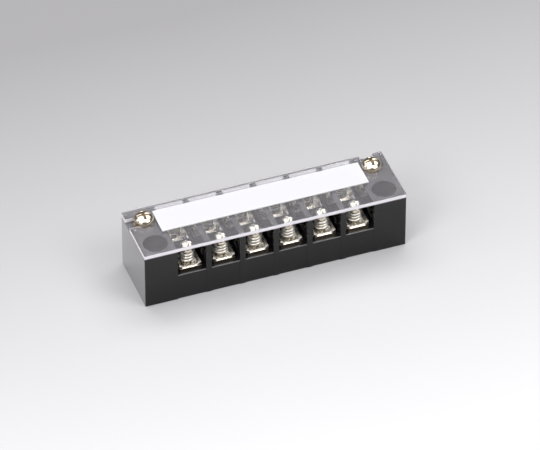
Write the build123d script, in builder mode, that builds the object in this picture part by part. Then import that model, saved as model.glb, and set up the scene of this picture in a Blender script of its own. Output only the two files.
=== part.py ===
import math
import os

from build123d import *

os.makedirs("parts", exist_ok=True)

# The part is a six pole screw terminal block in millimetres. Its origin is the middle of the
# underside, +X runs along the row of poles, -Y is the front and +Z is up.

# Row of poles
poles = 6
pole_pitch = 16.0
barrier_width = 2.7
end_block_length = 15.6

# Moulded body
body_depth = 32.0
body_height = 27.7
seat_height = 13.8
panel_setback = 0.25
corner_radius = 0.5
core_width = 9.4
core_depth = 9.0
core_height = 8.5
core_radius = 1.0
bridge_width = 4.4
bridge_height = 2.2
bridge_radius = 0.6
well_clearance = 0.5
well_floor = 3.0

# Terminal plate
plate_width = 11.0
plate_thickness = 1.2
plate_inset = 2.3
plate_corner = 0.6
plate_clearance = 0.05
collar_wall = 0.95
collar_height = 1.6
screw_inset = 6.8

# Terminal screw with its clamp washer and lift spring, as the open terminal holds it
thread_radius = 1.7
thread_clearance = 0.05
washer_clearance = 0.2
screw_length = 11.5
tip_chamfer = 0.4
head_radius = 3.1
head_height = 2.6
clamp_width = 10.4
clamp_depth = 8.0
clamp_thickness = 0.8
clamp_flat = 6.4
clamp_angle = 34.0
clamp_bend = 0.5
spring_height = 6.6
spring_radius = 3.15
spring_wire = 0.9
spring_turns = 3.5
spring_start = -62.0
spring_clearance = 0.05

# Head and its cross recess, as shares of the head's size
head_side_share = 0.32
recess_span = 0.66
recess_slot = 0.17
recess_depth = 0.62
recess_taper = 12.0

# Mounting holes
mount_spacing = 108.8
mount_from_front = 8.2
mount_hole_radius = 2.75
counterbore_radius = 5.6
counterbore_floor = 7.7

# Cover with its screws, inserts and marking strip
cover_thickness = 2.0
cover_screw_spacing = 108.8
cover_screw_from_back = 8.2
cover_thread_radius = 2.45
cover_screw_length = 10.0
cover_head_radius = 4.5
cover_head_height = 3.3
notch_clearance = 0.55
insert_wall = 1.3
insert_length = 9.0
insert_flange = 0.8
insert_flange_height = 0.8
insert_relief = 3.5
strip_length = 98.3
strip_depth = 14.3
strip_from_back = 4.3
strip_thickness = 0.5

bay_width = pole_pitch - barrier_width
body_length = 2 * end_block_length + poles * pole_pitch - barrier_width
plate_top = seat_height + plate_thickness
plate_depth = body_depth - 2 * plate_inset
tapped_radius = thread_radius + thread_clearance
washer_hole_radius = thread_radius + washer_clearance
collar_radius = tapped_radius + collar_wall
well_radius = collar_radius + well_clearance
spring_seat = plate_top + clamp_thickness
head_seat = spring_seat + spring_height
row_offset = body_depth / 2 - screw_inset
rows = {"front": -row_offset, "rear": row_offset}
pole_places = [(pole - (poles - 1) / 2) * pole_pitch for pole in range(poles)]
cover_top = body_height + cover_thickness
cover_screw_y = body_depth / 2 - cover_screw_from_back
notch_radius = cover_thread_radius + notch_clearance
insert_bore = cover_thread_radius + thread_clearance
insert_radius = insert_bore + insert_wall
mount_y = mount_from_front - body_depth / 2


def keep(piece, name):
    piece.part.label = name
    export_step(piece.part, f"parts/{name}.step")


def pan_head_screw(seat, shank_radius, length, radius, height, name):
    # A screw with a domed pan head, standing on its seat with the shank below. The cross recess
    # is a tapered cross, cut down from the top of the head.
    side = head_side_share * height
    span = 2 * radius * recess_span
    slot = 2 * radius * recess_slot
    with BuildPart() as screw:
        with BuildSketch(Plane(origin=seat, x_dir=(1, 0, 0), z_dir=(0, -1, 0))):
            with BuildLine():
                Polyline((0, height), (0, -length), (shank_radius - tip_chamfer, -length),
                         (shank_radius, tip_chamfer - length), (shank_radius, 0),
                         (radius, 0), (radius, side))
                EllipticalCenterArc((0, side), radius, height - side, 0, arc_size=90)
            make_face()
        revolve(axis=Axis(seat, (0, 0, 1)))
        with BuildSketch(Plane(origin=(seat[0], seat[1], seat[2] + height))):
            Rectangle(span, slot)
            Rectangle(slot, span)
        extrude(amount=-height * recess_depth, taper=recess_taper, mode=Mode.SUBTRACT)
    keep(screw, name)


def mounting_places():
    return [(-mount_spacing / 2, mount_y), (mount_spacing / 2, mount_y)]


def cover_screw_places():
    return [(-cover_screw_spacing / 2, cover_screw_y), (cover_screw_spacing / 2, cover_screw_y)]


# The body is one moulding: two end blocks and the barriers between the poles stand on a common
# base, and a low bridge in each pole holds the terminal plate down.
with BuildPart() as body:
    with BuildSketch():
        Rectangle(body_length, body_depth)
    extrude(amount=body_height)
    fillet(body.edges().filter_by(Axis.Z), radius=corner_radius)
    with BuildSketch(Plane.XY.offset(seat_height)):
        with Locations(*[(x, 0) for x in pole_places]):
            Rectangle(bay_width, body_depth)
    extrude(amount=body_height - seat_height, mode=Mode.SUBTRACT)
    with BuildSketch():
        with Locations(*[(x, side * (body_depth - panel_setback) / 2)
                         for x in pole_places for side in (-1, 1)]):
            Rectangle(bay_width, panel_setback)
    extrude(amount=seat_height, mode=Mode.SUBTRACT)
    bridge_top = plate_top + plate_clearance + bridge_height
    with BuildSketch(Plane.YZ.offset(-body_length / 2 + end_block_length / 2)):
        with Locations((0, (seat_height + bridge_top) / 2)):
            bridge = Rectangle(bridge_width, bridge_top - seat_height)
        fillet(bridge.vertices().group_by(Axis.Y)[-1], radius=bridge_radius)
    extrude(amount=body_length - end_block_length)
    with BuildSketch(Plane.XY.offset(seat_height)):
        with Locations(*[(x, 0) for x in pole_places]):
            Rectangle(plate_width + 2 * plate_clearance, bridge_width)
    extrude(amount=plate_thickness + plate_clearance, mode=Mode.SUBTRACT)
    with BuildSketch(Plane.XY.offset(seat_height)):
        with Locations(*[(x, y) for x in pole_places for y in rows.values()]):
            Circle(well_radius)
    extrude(amount=well_floor - seat_height, mode=Mode.SUBTRACT)
    with BuildSketch():
        with Locations(*[(x, 0) for x in pole_places]):
            RectangleRounded(core_width, core_depth, core_radius)
    extrude(amount=core_height, mode=Mode.SUBTRACT)
    with BuildSketch():
        with Locations(*mounting_places()):
            Circle(mount_hole_radius)
    extrude(amount=body_height, mode=Mode.SUBTRACT)
    with BuildSketch(Plane.XY.offset(counterbore_floor)):
        with Locations(*mounting_places()):
            Circle(counterbore_radius)
    extrude(amount=body_height - counterbore_floor, mode=Mode.SUBTRACT)
    with BuildSketch(Plane.XY.offset(body_height)):
        with Locations(*cover_screw_places()):
            Circle(insert_radius)
    extrude(amount=-insert_length - insert_relief, mode=Mode.SUBTRACT)
    with BuildSketch(Plane.XY.offset(body_height)):
        with Locations(*cover_screw_places()):
            Circle(insert_radius + insert_flange)
    extrude(amount=-insert_flange_height, mode=Mode.SUBTRACT)
keep(body, "body")

# Threaded inserts for the cover screws, pressed into the end blocks flush with the top.
for side, (x, y) in zip(("left", "right"), cover_screw_places()):
    with BuildPart() as insert:
        with BuildSketch(Plane.XY.offset(body_height)):
            with Locations((x, y)):
                Circle(insert_radius)
                Circle(insert_bore, mode=Mode.SUBTRACT)
        extrude(amount=-insert_length)
        with BuildSketch(Plane.XY.offset(body_height)):
            with Locations((x, y)):
                Circle(insert_radius + insert_flange)
                Circle(insert_bore, mode=Mode.SUBTRACT)
        extrude(amount=-insert_flange_height)
    keep(insert, f"insert_{side}")

# Terminal plates: one strip per pole with a plunged and tapped hole for each of its two screws.
for pole, x in enumerate(pole_places, start=1):
    with BuildPart() as plate:
        with BuildSketch(Plane.XY.offset(seat_height)):
            with Locations((x, 0)):
                Rectangle(plate_width, plate_depth)
        extrude(amount=plate_thickness)
        chamfer(plate.edges().filter_by(Axis.Z), length=plate_corner)
        with BuildSketch(Plane.XY.offset(seat_height)):
            with Locations(*[(x, y) for y in rows.values()]):
                Circle(collar_radius)
        extrude(amount=-collar_height)
        with BuildSketch(Plane.XY.offset(plate_top)):
            with Locations(*[(x, y) for y in rows.values()]):
                Circle(tapped_radius)
        extrude(amount=-plate_thickness - collar_height, mode=Mode.SUBTRACT)
    keep(plate, f"terminal_plate_{pole}")


def clamp_washer(x, y, name):
    # A square washer with a flat middle and two wings that are bent up.
    flat = clamp_flat / 2
    reach = (clamp_width - clamp_flat) / 2
    slope = math.tan(math.radians(clamp_angle))
    lean = clamp_thickness * math.tan(math.radians(clamp_angle / 2))
    with BuildPart() as washer:
        with BuildSketch(Plane(origin=(x, y, plate_top), x_dir=(1, 0, 0), z_dir=(0, -1, 0))):
            with BuildLine():
                half = FilletPolyline((0, 0), (flat, 0), (flat + reach, reach * slope),
                                      radius=clamp_bend + clamp_thickness)
                roof = FilletPolyline((0, clamp_thickness), (flat - lean, clamp_thickness),
                                      (flat + reach - lean, clamp_thickness + reach * slope),
                                      radius=clamp_bend)
                Line(half @ 1, roof @ 1)
                Line(half @ 0, roof @ 0)
            make_face()
            mirror(about=Plane.YZ)
        extrude(amount=clamp_depth / 2, both=True)
        with BuildSketch(Plane(origin=(x, y, plate_top))):
            Circle(washer_hole_radius)
        extrude(amount=clamp_thickness, mode=Mode.SUBTRACT)
    keep(washer, name)


def lift_spring(x, y, name):
    # A coil between the clamp washer and the head, which holds a loose screw up. Its wire is
    # square here, with the faces of round wire.
    rise = spring_height - spring_wire - 2 * spring_clearance
    start = spring_seat + spring_clearance + spring_wire / 2
    with BuildPart() as spring:
        with BuildLine(Plane(origin=(x, y, start)).rotated((0, 0, spring_start))) as coil:
            Helix(pitch=rise / spring_turns, height=rise, radius=spring_radius - spring_wire / 2)
        with BuildSketch(Plane(origin=coil.line @ 0, z_dir=coil.line % 0)):
            Rectangle(spring_wire, spring_wire)
        sweep(path=coil.line, is_frenet=True)
    keep(spring, name)


for row, y in rows.items():
    for pole, x in enumerate(pole_places, start=1):
        clamp_washer(x, y, f"{row}_clamp_washer_{pole}")
        lift_spring(x, y, f"{row}_lift_spring_{pole}")
        pan_head_screw((x, y, head_seat), thread_radius, screw_length,
                       head_radius, head_height, f"{row}_screw_{pole}")

# The clear cover lies on the barriers. Its left notch opens to the end and its right notch to the
# back, so that it turns aside about the left screw once both screws are loose.
with BuildPart() as cover:
    with BuildSketch(Plane.XY.offset(body_height)):
        Rectangle(body_length, body_depth)
    extrude(amount=cover_thickness)
    fillet(cover.edges().filter_by(Axis.Z), radius=corner_radius)
    left_x = -cover_screw_spacing / 2
    right_x = cover_screw_spacing / 2
    with BuildSketch(Plane.XY.offset(body_height)):
        with Locations((left_x, cover_screw_y), (right_x, cover_screw_y)):
            Circle(notch_radius)
        left_reach = body_length / 2 + left_x
        with Locations((left_x - left_reach / 2, cover_screw_y)):
            Rectangle(left_reach, 2 * notch_radius)
        back_reach = cover_screw_from_back
        with Locations((right_x, cover_screw_y + back_reach / 2)):
            Rectangle(2 * notch_radius, back_reach)
    extrude(amount=cover_thickness, mode=Mode.SUBTRACT)
keep(cover, "cover")

# Marking strip on the cover, left bare.
with BuildPart() as marking_strip:
    with BuildSketch(Plane.XY.offset(cover_top)):
        with Locations((0, body_depth / 2 - strip_from_back - strip_depth / 2)):
            Rectangle(strip_length, strip_depth)
    extrude(amount=strip_thickness)
keep(marking_strip, "marking_strip")

for side, (x, y) in zip(("left", "right"), cover_screw_places()):
    pan_head_screw((x, y, cover_top), cover_thread_radius, cover_screw_length,
                   cover_head_radius, cover_head_height, f"cover_screw_{side}")
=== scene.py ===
import math

import bmesh
import bpy
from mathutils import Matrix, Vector


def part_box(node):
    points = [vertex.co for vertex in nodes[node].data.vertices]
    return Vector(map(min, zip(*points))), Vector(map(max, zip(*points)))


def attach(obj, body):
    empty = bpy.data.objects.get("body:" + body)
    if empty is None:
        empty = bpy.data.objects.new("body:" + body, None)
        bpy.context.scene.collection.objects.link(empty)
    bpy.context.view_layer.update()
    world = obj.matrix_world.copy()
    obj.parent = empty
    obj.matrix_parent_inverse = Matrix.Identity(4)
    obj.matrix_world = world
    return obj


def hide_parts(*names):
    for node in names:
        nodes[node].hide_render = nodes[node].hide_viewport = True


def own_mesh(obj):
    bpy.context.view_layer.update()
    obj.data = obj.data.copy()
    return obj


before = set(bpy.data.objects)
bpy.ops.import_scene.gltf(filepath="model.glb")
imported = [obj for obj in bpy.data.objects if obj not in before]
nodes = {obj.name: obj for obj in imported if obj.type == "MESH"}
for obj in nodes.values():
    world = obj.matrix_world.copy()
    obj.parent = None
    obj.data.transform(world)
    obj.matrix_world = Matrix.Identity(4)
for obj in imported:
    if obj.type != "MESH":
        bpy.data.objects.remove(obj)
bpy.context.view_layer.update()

# The camera stands in front of the block and to its left, at the height of a person who looks
# down on a bench. It is far away with a long lens, so the long edges run almost parallel.
mm = 0.001
turn, tip = math.radians(20.109), math.radians(40.878)
sight = Vector((math.sin(turn) * math.cos(tip), math.cos(turn) * math.cos(tip), -math.sin(tip)))
aim = Vector((2.78, 0.06, 16.01)) * mm
camera_distance = 2.354
camera_data = bpy.data.cameras.new("camera")
camera_data.lens = 348.9
camera_data.sensor_width = 36
camera_data.clip_start = 0.1
camera_data.clip_end = 50
camera = bpy.data.objects.new("camera", camera_data)
camera.rotation_mode = "QUATERNION"
camera.rotation_quaternion = sight.to_track_quat("-Z", "Y")
camera.location = aim - sight * camera_distance
bpy.context.scene.collection.objects.link(camera)
bpy.context.scene.camera = camera
bpy.context.scene.view_settings.view_transform = "Standard"


# Studio. The block stands on a wide sheet of pale paper with a painted shade towards the back.
# Two soft boxes hang in front, one behind and one on the left, under a bright ceiling. The rest
# of the room is dim, so the metal has dark parts.
class Value:
    # A number or colour inside a material. A sum on it becomes Math nodes.
    def __init__(self, finish, socket):
        self.finish = finish
        self.socket = socket

    def math(self, operation, *terms):
        return self.finish.node("ShaderNodeMath", {"operation": operation}, dict(enumerate(terms)))

    def __add__(self, other):
        return self.math("ADD", self, other)

    def __sub__(self, other):
        return self.math("SUBTRACT", self, other)

    def __rsub__(self, other):
        return self.math("SUBTRACT", other, self)

    def __mul__(self, other):
        return self.math("MULTIPLY", self, other)

    def __truediv__(self, other):
        return self.math("DIVIDE", self, other)

    def __gt__(self, other):
        return self.math("GREATER_THAN", self, other)

    def __lt__(self, other):
        return self.math("LESS_THAN", self, other)

    def __abs__(self):
        return self.math("ABSOLUTE", self)

    __radd__ = __add__
    __rmul__ = __mul__


class Finish:
    # A material. Sockets that are the same all over are set here, and the others get a Value.
    def __init__(self, name, **sockets):
        self.material = bpy.data.materials.new(name)
        self.material.use_nodes = True
        self.tree = self.material.node_tree
        self.surface = self.tree.nodes["Principled BSDF"]
        self.vary(**sockets)

    def set(self, made, sockets):
        for key, value in sockets.items():
            if isinstance(value, Value):
                self.tree.links.new(value.socket, made.inputs[key])
            else:
                made.inputs[key].default_value = value

    def vary(self, **sockets):
        self.set(self.surface, {key.replace("_", " "): value for key, value in sockets.items()})

    def node(self, kind, settings=None, sockets=None, output=0):
        made = self.tree.nodes.new(kind)
        for key, value in (settings or {}).items():
            setattr(made, key, value)
        self.set(made, sockets or {})
        return Value(self, made.outputs[output])

    def place(self, centre=(0, 0, 0), scale=(1, 1, 1)):
        # Object coordinates, centred on a point of the block and stretched by a scale.
        where = self.node("ShaderNodeTexCoord", output=3)
        return self.node("ShaderNodeMapping", {"vector_type": "POINT"},
                         {"Vector": where, "Scale": scale,
                          "Location": tuple(-c * s for c, s in zip(centre, scale))})

    def along(self, axis, place):
        # One coordinate of a place: 0 runs along the block, 1 to its back and 2 up.
        return self.node("ShaderNodeSeparateXYZ", None, {0: place}, axis)

    def facing(self, axis):
        # How squarely the surface faces along an axis, from -1 to 1.
        return self.along(axis, self.node("ShaderNodeTexCoord", output=1))

    def noise(self, place, scale, detail, roughness=0.5):
        return self.node("ShaderNodeTexNoise", None, {"Vector": place, "Scale": scale,
                                                      "Detail": detail, "Roughness": roughness})

    def blend(self, factor, first, second):
        return self.node("ShaderNodeMix", {"data_type": "RGBA"},
                         {0: factor, 6: first, 7: second}, 2)

    def bump(self, height, distance):
        self.set(self.surface, {"Normal": self.node("ShaderNodeBump", None,
                                                    {"Height": height, "Distance": distance})})

    def overlay(self, factor, shader):
        # Mixes a second shader into the surface.
        mixed = self.node("ShaderNodeMixShader", None,
                          {0: factor, 1: Value(self, self.surface.outputs[0]), 2: shader})
        self.tree.links.new(mixed.socket, self.tree.nodes["Material Output"].inputs["Surface"])


table = Finish("paper with painted falloff", Roughness=0.85, Specular_IOR_Level=0.2)
paper_painted_lit, paper_painted_shaded = (0.51, 0.508, 0.515, 1), (0.238, 0.234, 0.237, 1)
depth = table.along(1, table.place((0, -0.15, 0), (1, 3.0, 1)))
speck = table.noise(table.place(), 9.0, 3.0)
shade = table.node("ShaderNodeClamp", None, {0: depth + speck * 0.04})
# The paper's colour is painted darker towards the back, a painted falloff of light.
table.vary(Base_Color=table.blend(shade, paper_painted_lit, paper_painted_shaded))
table_mesh = bpy.data.meshes.new("table_top")
half_side = 4.0
table_mesh.from_pydata([(-half_side, -half_side, 0), (half_side, -half_side, 0),
                        (half_side, half_side, 0), (-half_side, half_side, 0)],
                       [], [(0, 1, 2, 3)])
table_mesh.materials.append(table.material)
table_top = bpy.data.objects.new("table_top", table_mesh)
bpy.context.scene.collection.objects.link(table_top)


def soft_box(name, place, size, power):
    # A rectangular lamp that faces the block.
    lamp = bpy.data.lights.new(name, "AREA")
    lamp.shape = "RECTANGLE"
    lamp.size, lamp.size_y = size
    lamp.energy = power
    holder = bpy.data.objects.new(name, lamp)
    holder.location = place
    holder.rotation_mode = "QUATERNION"
    holder.rotation_quaternion = Vector(place).to_track_quat("Z", "Y")
    bpy.context.scene.collection.objects.link(holder)


soft_box("soft_box_front_left", (-0.62, -0.40, 0.66), (0.45, 0.50), 5.4)
soft_box("soft_box_front_right", (0.42, -0.50, 0.72), (0.50, 0.50), 4.7)
soft_box("soft_box_behind", (0.15, 0.45, 0.85), (1.30, 0.40), 6.8)
soft_box("soft_box_left", (-1.1, 0.3, 0.8), (0.5, 0.4), 2.3)
studio = bpy.data.worlds.new("studio")
studio.use_nodes = True
sky = studio.node_tree.nodes
link = studio.node_tree.links
upwards = sky.new("ShaderNodeSeparateXYZ")
ceiling = sky.new("ShaderNodeMapRange")
for key, value in (("From Min", 0.72), ("From Max", 0.80), ("To Min", 0.10), ("To Max", 1.8)):
    ceiling.inputs[key].default_value = value
link.new(sky.new("ShaderNodeTexCoord").outputs["Generated"], upwards.inputs[0])
link.new(upwards.outputs["Z"], ceiling.inputs["Value"])
link.new(ceiling.outputs["Result"], sky["Background"].inputs["Strength"])
sky["Background"].inputs["Color"].default_value = (0.96, 0.96, 1.0, 1)
bpy.context.scene.world = studio

# Moulded body. It is one glossy black thermoset moulding with a faint orange peel. The faces that
# look along the row have the hardest gloss. The ends and the tops are painted lighter, a painted
# sheen, and a thin painted highlight runs along the lips of the bays.
body_edge_width = 0.15 * mm
seat_height = 13.8 * mm
panel_setback = 0.25 * mm
lip_reach, lip_slack = 0.3 * mm, 0.1 * mm
top_band, end_band = 0.2 * mm, 0.1 * mm
moulded = Finish("moulded black", IOR=1.43, Coat_IOR=2.3)
cloud = moulded.noise(moulded.place(), 60.0, 4.0, 0.6)
grain = moulded.noise(moulded.place(), 1500.0, 2.0)
rise = moulded.along(2, moulded.place())
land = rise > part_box("body")[1][2] - top_band
end_face = abs(moulded.along(0, moulded.place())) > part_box("body")[1][0] - end_band
wall = abs(moulded.facing(0)) > 0.9
outward = abs(moulded.along(1, moulded.place()))
front_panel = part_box("body")[1][1] - panel_setback
lip = ((outward > front_panel - lip_reach) * (outward < front_panel + lip_slack)
       * (abs(rise - seat_height) < lip_reach))
gloss = moulded.blend(cloud, (0.006, 0.0055, 0.0055, 1), (0.010, 0.0095, 0.0095, 1))
# A thin painted highlight along the lips of the bays.
lip_painted_highlight = moulded.blend(lip, gloss, (0.13, 0.125, 0.13, 1))
# The end faces are painted lighter grey, a painted sheen.
ends_painted_sheen = moulded.blend(end_face, lip_painted_highlight, (0.072, 0.071, 0.072, 1))
# The tops of the moulding are painted lighter, a painted sheen.
moulded.vary(Base_Color=moulded.blend(land, ends_painted_sheen, (0.092, 0.090, 0.094, 1)),
             Roughness=cloud * 0.05 + land * 0.3 + 0.04, Coat_Weight=wall * 1.0)
moulded.bump(grain + cloud * 0.5, 0.005 * mm)


def broken_edges(node, name, finish, width):
    # A merged copy of a CAD node with fine bevels on its sharp edges. It takes the node's place.
    mesh = nodes[node].data.copy()
    mesh.materials.clear()
    mesh.materials.append(finish.material)
    shell = bmesh.new()
    shell.from_mesh(mesh)
    bmesh.ops.remove_doubles(shell, verts=shell.verts, dist=0.001 * mm)
    bmesh.ops.dissolve_limit(shell, angle_limit=math.radians(1), verts=shell.verts,
                             edges=shell.edges)
    shell.to_mesh(mesh)
    shell.free()
    # The normals that the CAD mesh brought along don't fit the merged faces.
    mesh.attributes.remove(mesh.attributes["custom_normal"])
    mesh.polygons.foreach_set("use_smooth", [True] * len(mesh.polygons))
    piece = bpy.data.objects.new(name, mesh)
    bpy.context.scene.collection.objects.link(piece)
    bevel = piece.modifiers.new("broken edges", "BEVEL")
    bevel.width = width
    bevel.segments = 2
    bevel.angle_limit = math.radians(60)
    bevel.harden_normals = True
    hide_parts(node)
    return piece


block = broken_edges("body", "moulded_block", moulded, body_edge_width)
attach(block, "base")


# Threaded inserts. They are turned brass bushes, pressed into the end blocks, and the tool has
# left fine rings on the flange.
def dress(name, finish):
    # Gives a CAD node its finish.
    mesh = nodes[name].data
    mesh.materials.clear()
    mesh.materials.append(finish.material)


for side in ("left", "right"):
    low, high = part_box(f"insert_{side}")
    middle = ((low[0] + high[0]) / 2, (low[1] + high[1]) / 2, 0)
    brass = Finish(f"turned brass {side}", Metallic=1.0)
    rings = brass.node("ShaderNodeTexWave", {"wave_type": "RINGS", "rings_direction": "Z"},
                       {"Vector": brass.place(middle), "Scale": 1500.0, "Distortion": 0.6})
    tarnish = brass.noise(brass.place(), 420.0, 3.0)
    brass.vary(Base_Color=brass.blend(tarnish, (0.48, 0.37, 0.21, 1), (0.58, 0.47, 0.30, 1)),
               Roughness=tarnish * 0.15 + 0.2)
    brass.bump(rings, 0.01 * mm)
    dress(f"insert_{side}", brass)

# Terminal plates. Each is a strip of nickel plated brass, blanked and tapped, and the rolling
# marks of the strip run along it. Its cut edges are painted dark, a painted shade.
plated = Finish("nickel plated strip", Metallic=1.0)
rolling = plated.noise(plated.place(scale=(3.0, 0.3, 3.0)), 700.0, 3.0, 0.55)
stain = plated.noise(plated.place(), 240.0, 3.0)
cut_edge = abs(plated.facing(2)) < 0.5
nickel = plated.blend(stain, (0.80, 0.75, 0.66, 1), (0.88, 0.84, 0.77, 1))
# The cut edges get a painted shade.
plated.vary(Base_Color=plated.blend(cut_edge, nickel, (0.17, 0.14, 0.10, 1)),
            Roughness=rolling * 0.16 + 0.18)
plated.bump(rolling, 0.006 * mm)
for pole in range(1, 7):
    dress(f"terminal_plate_{pole}", plated)

# Clamp washers. They are pressed from bright strip with both sides bent up, so that they grip a
# ring terminal and stop it from turning.
pressed = Finish("pressed nickel", Metallic=1.0)
scuff = pressed.noise(pressed.place(), 520.0, 4.0, 0.6)
pressed.vary(Base_Color=pressed.blend(scuff, (0.92, 0.88, 0.80, 1), (0.97, 0.95, 0.90, 1)),
             Roughness=scuff * 0.14 + 0.20)
pressed.bump(scuff, 0.012 * mm)
places = [(row, pole) for row in ("front", "rear") for pole in range(1, 7)]
for row, pole in places:
    dress(f"{row}_clamp_washer_{pole}", pressed)


# Lift springs. Each is a short coil of plated wire that stands on the clamp washer round the
# screw, pushes its head up and flattens as the screw is driven down.
class Steps:
    # A Geometry Nodes tree with named inputs, written node by node.
    def __init__(self, name, **inputs):
        self.tree = bpy.data.node_groups.new(name, "GeometryNodeTree")
        self.socket("Geometry", "INPUT", "Geometry")
        for key, kind in inputs.items():
            self.socket(key, "INPUT", kind)
        self.socket("Geometry", "OUTPUT", "Geometry")
        self.given = self.tree.nodes.new("NodeGroupInput").outputs
        self.result = self.tree.nodes.new("NodeGroupOutput").inputs[0]

    def socket(self, name, direction, kind):
        self.tree.interface.new_socket(name, in_out=direction, socket_type=f"NodeSocket{kind}")

    def node(self, kind, settings=None, sockets=None, output=0):
        made = self.tree.nodes.new(kind)
        for key, value in (settings or {}).items():
            setattr(made, key, value)
        for key, value in (sockets or {}).items():
            for one in value if isinstance(value, list) else [value]:
                if isinstance(one, bpy.types.NodeSocket):
                    self.tree.links.new(one, made.inputs[key])
                else:
                    made.inputs[key].default_value = one
        return made.outputs[output]

    def math(self, operation, first, second):
        return self.node("ShaderNodeMath", {"operation": operation}, {0: first, 1: second})

    def upward(self, length):
        # A vector of that length, straight up.
        return self.node("ShaderNodeCombineXYZ", None, {"Z": length})

    def height_of(self, vector):
        return self.node("ShaderNodeSeparateXYZ", None, {0: vector}, 2)

    def finish(self, geometry, finish):
        coated = self.node("GeometryNodeSetMaterial", None, {"Geometry": geometry,
                                                             "Material": finish.material})
        self.tree.links.new(self.node("GeometryNodeRealizeInstances", None, {0: coated}),
                            self.result)

    def make(self, name, mesh, sharp, **values):
        # Runs the tree on a mesh and returns a plain object with the result. Edges sharper than
        # the angle, in degrees, stay crisp.
        start = bpy.data.objects.new(name, mesh)
        bpy.context.scene.collection.objects.link(start)
        modifier = start.modifiers.new("steps", "NODES")
        modifier.node_group = self.tree
        for socket in self.tree.interface.items_tree:
            if socket.in_out == "INPUT" and socket.name in values:
                modifier[socket.identifier] = values[socket.name]
        seen = start.evaluated_get(bpy.context.evaluated_depsgraph_get())
        made = bpy.data.meshes.new_from_object(seen)
        start.modifiers.remove(modifier)
        start.data = made
        made.polygons.foreach_set("use_smooth", [True] * len(made.polygons))
        made.set_sharp_from_angle(angle=math.radians(sharp))
        return start


wire_finish = Finish("spring wire", Metallic=1.0)
drawn = wire_finish.noise(wire_finish.place(), 900.0, 3.0)
wire_light, wire_dark = (0.97, 0.94, 0.88, 1), (0.90, 0.86, 0.78, 1)
wire_finish.vary(Base_Color=wire_finish.blend(drawn, wire_dark, wire_light),
                 Roughness=drawn * 0.12 + 0.26)
wire_finish.bump(drawn, 0.008 * mm)
coil = Steps("coil", Seat="Vector", Height="Float", Wire="Float", Radius="Float", Turns="Float",
             Start="Float")
wire_radius = coil.math("MULTIPLY", coil.given["Wire"], 0.5)
line_radius = coil.math("SUBTRACT", coil.given["Radius"], wire_radius)
line = coil.node("GeometryNodeCurveSpiral", None,
                 {"Resolution": 40, "Rotations": coil.given["Turns"],
                  "Start Radius": line_radius, "End Radius": line_radius,
                  "Height": coil.math("SUBTRACT", coil.given["Height"], coil.given["Wire"]),
                  "Reverse": True})
turned = coil.node("GeometryNodeTransform", None,
                   {"Geometry": line, "Translation": coil.upward(wire_radius),
                    "Rotation": coil.upward(coil.given["Start"])})
ring = coil.node("GeometryNodeCurvePrimitiveCircle", {"mode": "RADIUS"},
                 {"Resolution": 14, "Radius": wire_radius})
wound = coil.node("GeometryNodeCurveToMesh", None,
                  {"Curve": turned, "Profile Curve": ring, "Fill Caps": True})
stood = coil.node("GeometryNodeTransform", None,
                  {"Geometry": wound, "Translation": coil.given["Seat"]})
coil.finish(stood, wire_finish)
wire, coil_radius, coil_turns = 0.9 * mm, 3.15 * mm, 3.5
coil_start = math.radians(-62.0)
for row, pole in places:
    name = f"{row}_lift_spring_{pole}"
    low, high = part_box(name)
    seat = Vector(((low[0] + high[0]) / 2, (low[1] + high[1]) / 2, low[2]))
    height = high[2] - low[2]
    spring = coil.make(f"{row}_coil_{pole}", bpy.data.meshes.new(name), 60, Seat=seat,
                       Height=height, Wire=wire, Radius=coil_radius, Turns=coil_turns,
                       Start=coil_start)
    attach(spring, "base")
    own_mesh(spring)
    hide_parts(name)

# Screws. They are cold formed with a domed head and a punched cross recess, have a rolled
# thread down to the tip, and are nickel plated.
bright = Finish("bright nickel", Metallic=1.0)
streak = bright.noise(bright.place(), 650.0, 4.0, 0.6)
bright.vary(Base_Color=bright.blend(streak, (0.80, 0.73, 0.61, 1), (0.90, 0.85, 0.75, 1)),
            Roughness=streak * 0.12 + 0.18)
bright.bump(streak, 0.01 * mm)
screw = Steps("screw", Seat="Vector", Length="Float", Radius="Float", Pitch="Float")
# The head is kept from the CAD screw, and the points of its plain shank are deleted.
seat_level = screw.math("SUBTRACT", screw.height_of(screw.given["Seat"]), 0.01 * mm)
below = screw.node("FunctionNodeCompare", {"data_type": "FLOAT", "operation": "LESS_THAN"},
                   {0: screw.height_of(screw.node("GeometryNodeInputPosition")),
                    1: seat_level})
whole = screw.node("GeometryNodeMergeByDistance", None,
                   {"Geometry": screw.given["Geometry"], "Distance": 0.001 * mm})
head = screw.node("GeometryNodeDeleteGeometry", {"domain": "POINT"},
                  {"Geometry": whole, "Selection": below})
# The thread is a three-sided wire, wound at the pitch. The core hides the wire's inner side.
ridge = screw.math("MULTIPLY", screw.given["Pitch"], 0.5)
path_radius = screw.math("SUBTRACT", screw.given["Radius"], ridge)
helix = screw.node("GeometryNodeCurveSpiral", None,
                   {"Resolution": 24, "Rotations": screw.math("DIVIDE", screw.given["Length"],
                                                              screw.given["Pitch"]),
                    "Start Radius": path_radius, "End Radius": path_radius,
                    "Height": screw.given["Length"], "Reverse": True})
upright = screw.node("GeometryNodeSetCurveNormal", {"mode": "Z_UP"}, {"Curve": helix})
tooth = screw.node("GeometryNodeCurvePrimitiveCircle", {"mode": "RADIUS"},
                   {"Resolution": 3, "Radius": ridge})
thread = screw.node("GeometryNodeCurveToMesh", None,
                    {"Curve": upright, "Profile Curve": tooth, "Fill Caps": True})
root_depth = screw.math("MULTIPLY", ridge, 1.35)
core = screw.node("GeometryNodeMeshCylinder", None,
                  {"Vertices": 32, "Depth": screw.given["Length"],
                   "Radius": screw.math("SUBTRACT", screw.given["Radius"], root_depth)})
half_length = screw.math("MULTIPLY", screw.given["Length"], 0.5)
raised = screw.node("GeometryNodeTransform", None,
                    {"Geometry": core, "Translation": screw.upward(half_length)})
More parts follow.
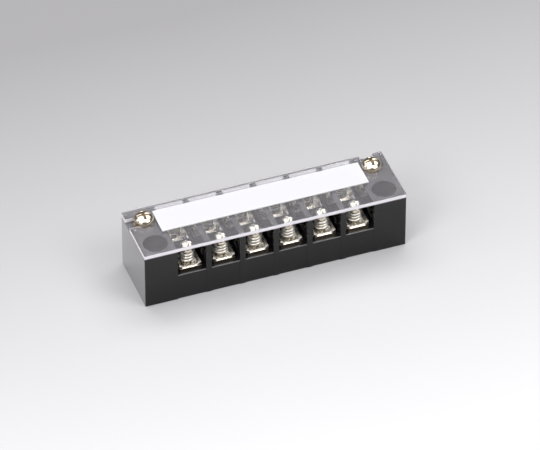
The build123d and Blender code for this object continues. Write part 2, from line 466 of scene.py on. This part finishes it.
foot = screw.node("ShaderNodeVectorMath", {"operation": "SUBTRACT"},
                  {0: screw.given["Seat"], 1: screw.upward(screw.given["Length"])})
shank = screw.node("GeometryNodeTransform", None,
                   {"Geometry": screw.node("GeometryNodeJoinGeometry", None,
                                           {0: [thread, raised]}),
                    "Translation": foot})
screw.finish(screw.node("GeometryNodeJoinGeometry", None, {0: [head, shank]}), bright)


def thread_screw(node, name, body, head_height, radius, pitch, finish):
    # Puts a rolled thread under the head of a CAD screw.
    low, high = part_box(node)
    seat = Vector(((low[0] + high[0]) / 2, (low[1] + high[1]) / 2, high[2] - head_height))
    made = screw.make(name, nodes[node].data.copy(), 35, Seat=seat,
                      Length=seat.z - low[2], Radius=radius, Pitch=pitch)
    made.data.materials.clear()
    made.data.materials.append(finish.material)
    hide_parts(node)
    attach(made, body)


head_height, thread_radius, thread_pitch = 2.6 * mm, 1.7 * mm, 0.6 * mm
for row, pole in places:
    thread_screw(f"{row}_screw_{pole}", f"{row}_threaded_{pole}", f"{row}_screw_{pole}",
                 head_height, thread_radius, thread_pitch, bright)

# Cover screws. They are the same kind of screw in a larger size with a yellower plating. The
# inside of the cross recess is painted dark, a painted shade.
cover_head_height, cover_thread_radius, cover_thread_pitch = 3.3 * mm, 2.45 * mm, 0.8 * mm
crown, crown_radius = 2.24 * mm, 4.5 * mm
recess_depth, recess_lip, recess_reach = 2.6 * mm, 0.12 * mm, 0.75
for side in ("left", "right"):
    low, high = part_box(f"cover_screw_{side}")
    yellow = Finish(f"yellow nickel {side}", Metallic=1.0)
    spot = yellow.place(((low[0] + high[0]) / 2, (low[1] + high[1]) / 2, high[2]))
    drop = 0 - yellow.along(2, spot)
    flat = yellow.node("ShaderNodeVectorMath", {"operation": "MULTIPLY"}, {0: spot, 1: (1, 1, 0)})
    from_axis = yellow.node("ShaderNodeVectorMath", {"operation": "LENGTH"}, {0: flat}, 1)
    reach = from_axis / crown_radius
    inside = 1 - reach * reach
    dome = (1 - inside.math("SQRT", inside)) * crown
    recess = (drop > dome + recess_lip) * (drop < recess_depth) * (reach < recess_reach)
    patch = yellow.noise(yellow.place(), 500.0, 4.0, 0.6)
    plate = yellow.blend(patch, (0.74, 0.65, 0.49, 1), (0.86, 0.79, 0.65, 1))
    # The inside of the cross recess is painted dark, a painted shade.
    yellow.vary(Base_Color=yellow.blend(recess, plate, (0.16, 0.12, 0.08, 1)),
                Roughness=patch * 0.12 + recess * 0.2 + 0.14)
    yellow.bump(patch, 0.01 * mm)
    thread_screw(f"cover_screw_{side}", f"cover_threaded_{side}", f"cover_screw_{side}",
                 cover_head_height, cover_thread_radius, cover_thread_pitch, yellow)

# Clear cover. It is a sheet of clear acrylic with fine rubs that stands a hair off the moulding.
# A pale diffuse share over the whole sheet paints a veil of reflected light. Its edges are sawn
# and broken, and they are painted near white, partly their frosted face and partly a painted
# glow of the light that they gather.
cover_edge_width = 0.2 * mm
cover_gap, underside_band = 0.05 * mm, 0.1 * mm
clear = Finish("clear sheet", Base_Color=(0.97, 0.97, 0.98, 1), Transmission_Weight=1.0, IOR=1.49)
rubs_and_painted_veil = clear.noise(clear.place(scale=(1.0, 6.0, 1.0)), 90.0, 5.0, 0.7)
clear.vary(Roughness=rubs_and_painted_veil * 0.02)
side_face = abs(clear.facing(2)) < 0.5
sawn_edge_and_painted_veil = clear.node("ShaderNodeBsdfPrincipled", None,
                  {"Base Color": (0.78, 0.75, 0.79, 1), "Roughness": 0.35})
# A painted veil of reflected light over the sheet, and near white edges that are partly a painted
# glow.
clear.overlay(side_face * 0.90 + rubs_and_painted_veil * 0.035 + 0.052, sawn_edge_and_painted_veil)
sheet = broken_edges("cover", "cover_sheet", clear, cover_edge_width)
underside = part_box("cover")[0][2]
for vertex in sheet.data.vertices:
    if vertex.co.z < underside + underside_band:
        vertex.co.z += cover_gap
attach(sheet, "cover")

# Marking strip. It is a bare strip of white film, stuck on the cover, that takes pencil. Light
# that comes up through the clear sheet makes it glow a little.
film = Finish("white film", Specular_IOR_Level=0.35)
glow = film.node("ShaderNodeBsdfTranslucent", None, {"Color": (0.97, 0.97, 0.97, 1)})
film.overlay(0.46, glow)
pencil_grain = film.noise(film.place(), 2600.0, 3.0)
mottle = film.noise(film.place(), 70.0, 3.0)
film.vary(Base_Color=film.blend(mottle, (0.86, 0.85, 0.88, 1), (0.89, 0.885, 0.91, 1)),
          Roughness=pencil_grain * 0.2 + 0.45)
film.bump(pencil_grain, 0.006 * mm)
dress("marking_strip", film)
